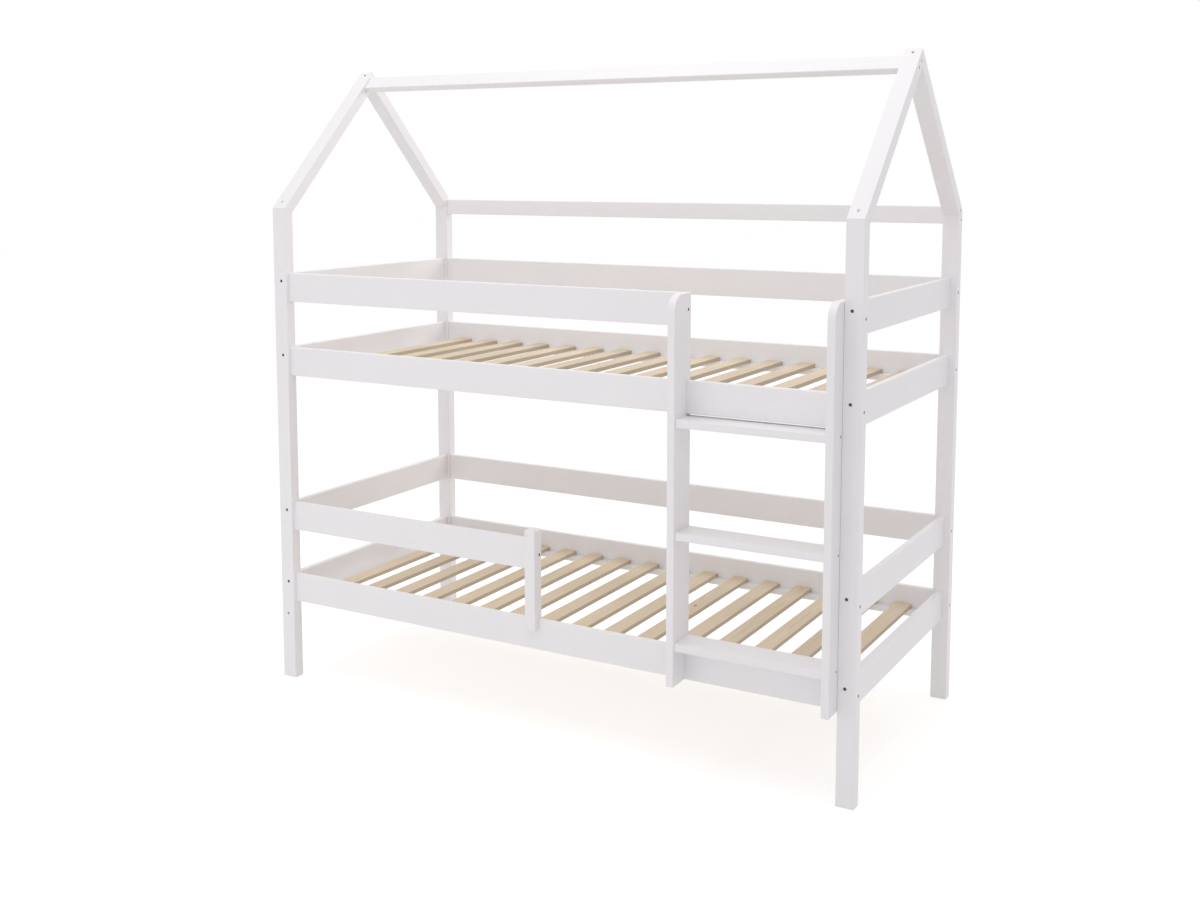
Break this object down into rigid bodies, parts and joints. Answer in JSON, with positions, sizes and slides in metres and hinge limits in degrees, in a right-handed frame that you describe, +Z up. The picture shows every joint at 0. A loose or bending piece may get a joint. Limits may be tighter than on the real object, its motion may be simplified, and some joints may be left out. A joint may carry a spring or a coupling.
{
  "type": "bunk bed",
  "caption": "House-shaped wooden bunk bed, white painted frame with a gable roof outline, guard rails, a front ladder and bare pine slats on both decks.",
  "frame": {"origin": "on the floor, in the middle of the space that the whole bed takes up, ladder included", "axes": "+X along the bed towards the ladder end, +Y from the ladder side to the wall side, +Z up"},
  "size_m": [2.1, 1.035, 2.133],
  "materials": {
    "white_paint": "satin white paint on pine",
    "bare_pine": "planed bare pine",
    "black_steel": "black oxide",
    "zinc_steel": "dull zinc plated",
    "beech": "fluted bare beech"
  },
  "bodies": {
    "root": {"apex_screws": "zinc_steel", "batten_screws": "zinc_steel", "eave_rail_back": "white_paint", "end_board_bolts": "black_steel", "end_board_dowels": "beech", "guard_end_bolts": "black_steel", "ladder_rail_screws": "zinc_steel", "ladder_step_bottom": "white_paint", "ladder_step_middle": "white_paint", "ladder_step_top": "white_paint", "ladder_stile_left": "white_paint", "ladder_stile_right": "white_paint", "lower_cleat_back": "white_paint", "lower_cleat_front": "white_paint", "lower_end_rail_left": "white_paint", "lower_end_rail_right": "white_paint", "lower_guard_back": "white_paint", "lower_guard_front": "white_paint", "lower_guard_left": "white_paint", "lower_guard_post": "white_paint", "lower_guard_right": "white_paint", "lower_side_rail_back": "white_paint", "lower_side_rail_front": "white_paint", "lower_slats": "bare_pine", "post_back_left": "white_paint", "post_back_right": "white_paint", "post_front_left": "white_paint", "post_front_right": "white_paint", "rafter_back_left": "white_paint", "rafter_back_right": "white_paint", "rafter_foot_screws": "zinc_steel", "rafter_front_left": "white_paint", "rafter_front_right": "white_paint", "ridge_board": "white_paint", "side_board_bolts": "black_steel", "side_board_dowels": "beech", "step_dowels": "beech", "step_screws": "zinc_steel", "stile_bolts": "black_steel", "upper_cleat_back": "white_paint", "upper_cleat_front": "white_paint", "upper_end_rail_left": "white_paint", "upper_end_rail_right": "white_paint", "upper_guard_back": "white_paint", "upper_guard_front": "white_paint", "upper_guard_left": "white_paint", "upper_guard_right": "white_paint", "upper_side_rail_back": "white_paint", "upper_side_rail_front": "white_paint", "upper_slats": "bare_pine"}
  },
  "joints": []
}
